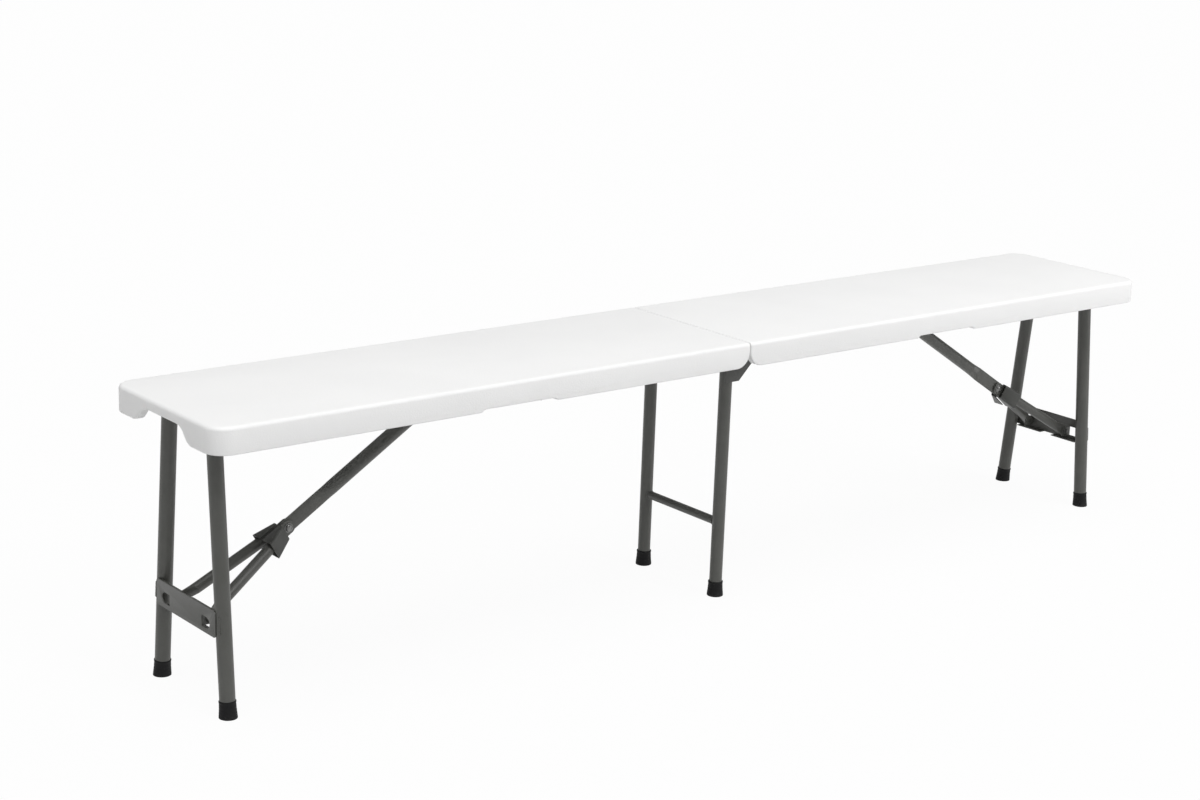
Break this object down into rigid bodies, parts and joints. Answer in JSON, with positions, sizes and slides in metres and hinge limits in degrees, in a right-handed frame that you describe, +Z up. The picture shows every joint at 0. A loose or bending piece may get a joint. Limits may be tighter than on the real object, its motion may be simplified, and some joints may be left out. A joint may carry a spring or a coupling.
{
  "type": "folding bench",
  "caption": "Long folding bench with a moulded seat in two hinged halves, folding tube legs at both ends and in the middle, hinged braces and a carry handle.",
  "frame": {"origin": "on the floor, under the middle of the open bench", "axes": "+X along the bench, +Y across it towards the side without the carry handle, +Z up"},
  "size_m": [1.83, 0.282, 0.418],
  "materials": {
    "seat_plastic": "fine pebbled blow-moulded polyethylene, off-white",
    "grey_powder_coat": "satin grey powder coat on steel tube and sheet",
    "foot_rubber": "matt black moulded cap",
    "handle_plastic": "fine-grained black moulding",
    "bright_steel": "bright zinc-plated rivets, bolts and screws"
  },
  "bodies": {
    "left_half": {"seat_left": "seat_plastic", "side_rail_near_left": "grey_powder_coat", "side_rail_far_left": "grey_powder_coat", "rail_screws_left": "bright_steel", "hinge_screws_left": "bright_steel", "arm_rod_left": "grey_powder_coat", "hinge_ear_near": "grey_powder_coat", "hinge_ear_far": "grey_powder_coat", "hinge_bolt_near": "bright_steel", "hinge_bolt_far": "bright_steel", "handle_ear_outer": "grey_powder_coat", "handle_ear_inner": "grey_powder_coat", "handle_pins": "bright_steel", "handle_screws": "bright_steel"},
    "right_half": {"seat_right": "seat_plastic", "side_rail_near_right": "grey_powder_coat", "side_rail_far_right": "grey_powder_coat", "rail_screws_right": "bright_steel", "hinge_screws_right": "bright_steel", "arm_rod_right": "grey_powder_coat", "hinge_bracket_near": "grey_powder_coat", "hinge_bracket_far": "grey_powder_coat"},
    "middle_legs": {"centre_leg_near": "grey_powder_coat", "centre_leg_far": "grey_powder_coat", "centre_foot_near": "foot_rubber", "centre_foot_far": "foot_rubber", "centre_top_bar": "grey_powder_coat", "centre_crossbar": "grey_powder_coat"},
    "handle": {"carry_handle": "handle_plastic"},
    "left_legs": {"pivot_tube_left": "grey_powder_coat", "end_leg_near_left": "grey_powder_coat", "end_leg_far_left": "grey_powder_coat", "end_foot_near_left": "foot_rubber", "end_foot_far_left": "foot_rubber", "leg_crossbar_left": "grey_powder_coat", "lug_rivets_left": "bright_steel"},
    "left_arm": {"brace_arm_left": "grey_powder_coat"},
    "left_fork": {"fork_near_left": "grey_powder_coat", "fork_far_left": "grey_powder_coat", "knee_rivet_left": "bright_steel"},
    "left_collar": {"lock_collar_left": "grey_powder_coat"},
    "right_legs": {"pivot_tube_right": "grey_powder_coat", "end_leg_near_right": "grey_powder_coat", "end_leg_far_right": "grey_powder_coat", "end_foot_near_right": "foot_rubber", "end_foot_far_right": "foot_rubber", "leg_crossbar_right": "grey_powder_coat", "lug_rivets_right": "bright_steel"},
    "right_arm": {"brace_arm_right": "grey_powder_coat"},
    "right_fork": {"fork_near_right": "grey_powder_coat", "fork_far_right": "grey_powder_coat", "knee_rivet_right": "bright_steel"},
    "right_collar": {"lock_collar_right": "grey_powder_coat"}
  },
  "joints": [
    {"name": "bench_fold", "type": "hinge", "parent": "left_half", "child": "right_half", "pos_m": [0, 0, 0.3796], "axis": [0, 1, 0], "range_deg": [0, 180]},
    {"name": "middle_leg_fold", "type": "hinge", "parent": "left_half", "child": "middle_legs", "pos_m": [0, 0, 0.3796], "axis": [0, 1, 0], "range_deg": [0, 90]},
    {"name": "left_leg_fold", "type": "hinge", "parent": "left_half", "child": "left_legs", "pos_m": [-0.87, 0, 0.3926], "axis": [0, 1, 0], "range_deg": [-90, 0]},
    {"name": "right_leg_fold", "type": "hinge", "parent": "right_half", "child": "right_legs", "pos_m": [0.87, 0, 0.3926], "axis": [0, 1, 0], "range_deg": [0, 90]},
    {"name": "left_arm_swing", "type": "hinge", "parent": "left_half", "child": "left_arm", "pos_m": [-0.442, 0, 0.3926], "axis": [0, 1, 0], "range_deg": [0, 31.92]},
    {"name": "right_arm_swing", "type": "hinge", "parent": "right_half", "child": "right_arm", "pos_m": [0.442, 0, 0.3926], "axis": [0, 1, 0], "range_deg": [-31.92, 0]},
    {"name": "left_fork_swing", "type": "hinge", "parent": "left_legs", "child": "left_fork", "pos_m": [-0.87, 0, 0.126], "axis": [0, 1, 0], "range_deg": [-58.08, 0]},
    {"name": "right_fork_swing", "type": "hinge", "parent": "right_legs", "child": "right_fork", "pos_m": [0.87, 0, 0.126], "axis": [0, 1, 0], "range_deg": [0, 58.08]},
    {"name": "left_collar_slide", "type": "slide", "parent": "left_fork", "child": "left_collar", "axis": [0.8488, 0, 0.5287], "range_m": [0, 0.018]},
    {"name": "right_collar_slide", "type": "slide", "parent": "right_fork", "child": "right_collar", "axis": [-0.8488, 0, 0.5287], "range_m": [0, 0.018]},
    {"name": "handle_swing", "type": "hinge", "parent": "left_half", "child": "handle", "pos_m": [-0.4285, -0.117, 0.3814], "axis": [1, 0, 0], "range_deg": [-180, 0]}
  ],
  "couplings": [
    {"joint": "middle_leg_fold", "follows": "bench_fold", "ratio": 0.5},
    {"joint": "left_leg_fold", "follows": "bench_fold", "ratio": -0.5},
    {"joint": "right_leg_fold", "follows": "bench_fold", "ratio": 0.5},
    {"joint": "left_arm_swing", "follows": "bench_fold", "ratio": 0.17733},
    {"joint": "right_arm_swing", "follows": "bench_fold", "ratio": -0.17733},
    {"joint": "left_fork_swing", "follows": "bench_fold", "ratio": -0.32267},
    {"joint": "right_fork_swing", "follows": "bench_fold", "ratio": 0.32267}
  ]
}
